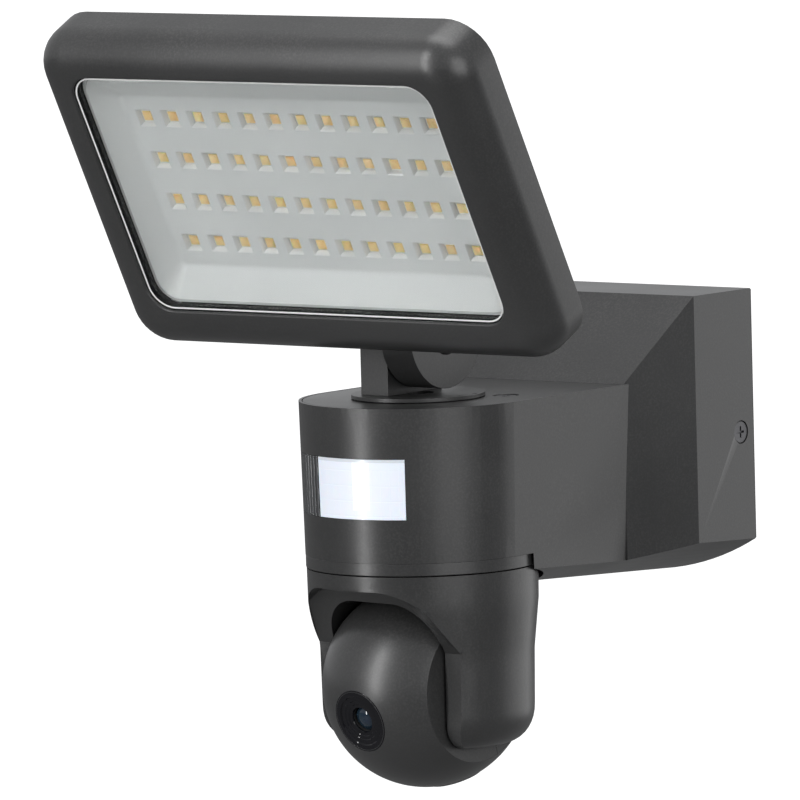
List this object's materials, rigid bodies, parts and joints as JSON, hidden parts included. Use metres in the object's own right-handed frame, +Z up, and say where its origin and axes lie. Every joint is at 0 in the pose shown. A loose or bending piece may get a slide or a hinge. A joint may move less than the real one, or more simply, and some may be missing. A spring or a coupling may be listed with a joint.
{
  "type": "floodlight security camera",
  "caption": "Wall-mounted LED floodlight with a swivelling and tilting head, a motion sensor in a rounded arm, and a pan-and-tilt ball camera below.",
  "frame": {"origin": "centre of the wall plate's back face, where it meets the wall", "axes": "+Y into the wall, +Z up, +X to the right seen from the front; the front faces -Y"},
  "size_m": [0.1836, 0.2206, 0.2706],
  "materials": {
    "anthracite_plastic": "fine satin moulded plastic, anthracite",
    "anthracite_metal": "satin powder coat on die-cast aluminium, anthracite",
    "steel": "zinc plated",
    "motor_steel": "drawn can",
    "rubber": "matt",
    "white_lens": "milky moulded lens",
    "black_gloss": "high gloss",
    "board_green": "solder mask",
    "white_board": "white solder mask",
    "brass": "turned",
    "antenna_film": "polyimide film",
    "pale_plastic": "acetal",
    "clear_glass": "polished, tempered",
    "reflector_white": "white diffuse",
    "led_phosphor": "phosphor",
    "black_matt": "matt",
    "lens_coating": "coated"
  },
  "bodies": {
    "housing": {"main_housing": "anthracite_plastic", "top_cover": "anthracite_plastic", "cover_screws": "steel", "wall_plate": "steel", "wall_gasket": "rubber", "side_screws": "steel", "collar_ring": "anthracite_plastic", "motion_lens": "white_lens", "sensor_window": "black_gloss", "motion_sensor": "motor_steel", "sensor_board": "board_green", "main_board": "board_green", "power_board": "board_green", "board_spacers": "brass", "terminal_block": "pale_plastic", "cable_grommet": "rubber", "antenna": "antenna_film", "speaker": "rubber", "microphone": "motor_steel", "pan_motor": "motor_steel", "pan_bearing": "steel"},
    "flood_turntable": {"turntable": "anthracite_metal", "spindle_ring": "steel", "hinge_post": "anthracite_metal", "post_screws": "steel", "hinge_bolt": "steel", "hinge_nut": "steel", "hinge_washer": "steel"},
    "flood_head": {"head_frame": "anthracite_metal", "heat_sink": "anthracite_metal", "front_glass": "clear_glass", "glass_gasket": "rubber", "reflector": "reflector_white", "led_board": "white_board", "leds": "led_phosphor", "hinge_bracket": "anthracite_metal", "bracket_bolts": "steel", "head_screws": "steel"},
    "camera_yoke": {"yoke": "anthracite_plastic", "pan_spindle": "steel", "spindle_screws": "steel", "pan_gear": "pale_plastic", "pan_retainer": "steel", "tilt_axles": "steel", "tilt_gear": "pale_plastic"},
    "camera_ball": {"ball_front": "anthracite_plastic", "ball_rear": "anthracite_plastic", "card_cover": "anthracite_plastic", "lens_window": "black_gloss", "lens_barrel": "black_matt", "lens_glass": "lens_coating", "camera_board": "board_green", "image_sensor": "black_matt", "tilt_motor": "motor_steel"},
    "pan_drive": {"pan_pinion": "pale_plastic"},
    "tilt_drive": {"tilt_pinion": "pale_plastic"}
  },
  "joints": [
    {"name": "flood_pan", "type": "hinge", "parent": "housing", "child": "flood_turntable", "pos_m": [0, -0.127, 0.016], "axis": [0, 0, 1], "range_deg": [-60, 60]},
    {"name": "flood_tilt", "type": "hinge", "parent": "flood_turntable", "child": "flood_head", "pos_m": [0, -0.127, 0.04], "axis": [1, 0, 0], "range_deg": [-50, 15]},
    {"name": "camera_pan", "type": "hinge", "parent": "housing", "child": "camera_yoke", "pos_m": [0, -0.127, -0.04], "axis": [0, 0, 1], "range_deg": [-163.5, 176.5]},
    {"name": "camera_tilt", "type": "hinge", "parent": "camera_yoke", "child": "camera_ball", "pos_m": [0, -0.127, -0.083], "axis": [0.9936, -0.1132, 0], "range_deg": [-30, 75]},
    {"name": "pan_pinion_spin", "type": "hinge", "parent": "housing", "child": "pan_drive", "pos_m": [0, -0.097, -0.03], "axis": [0, 0, 1], "range_deg": [-720, 720]},
    {"name": "tilt_pinion_spin", "type": "hinge", "parent": "camera_ball", "child": "tilt_drive", "pos_m": [0.00148, -0.11401, -0.07925], "axis": [0.9936, -0.1132, 0], "range_deg": [-90, 200]}
  ],
  "couplings": [
    {"joint": "pan_pinion_spin", "follows": "camera_pan", "ratio": -4},
    {"joint": "tilt_pinion_spin", "follows": "camera_tilt", "ratio": 2.4}
  ]
}
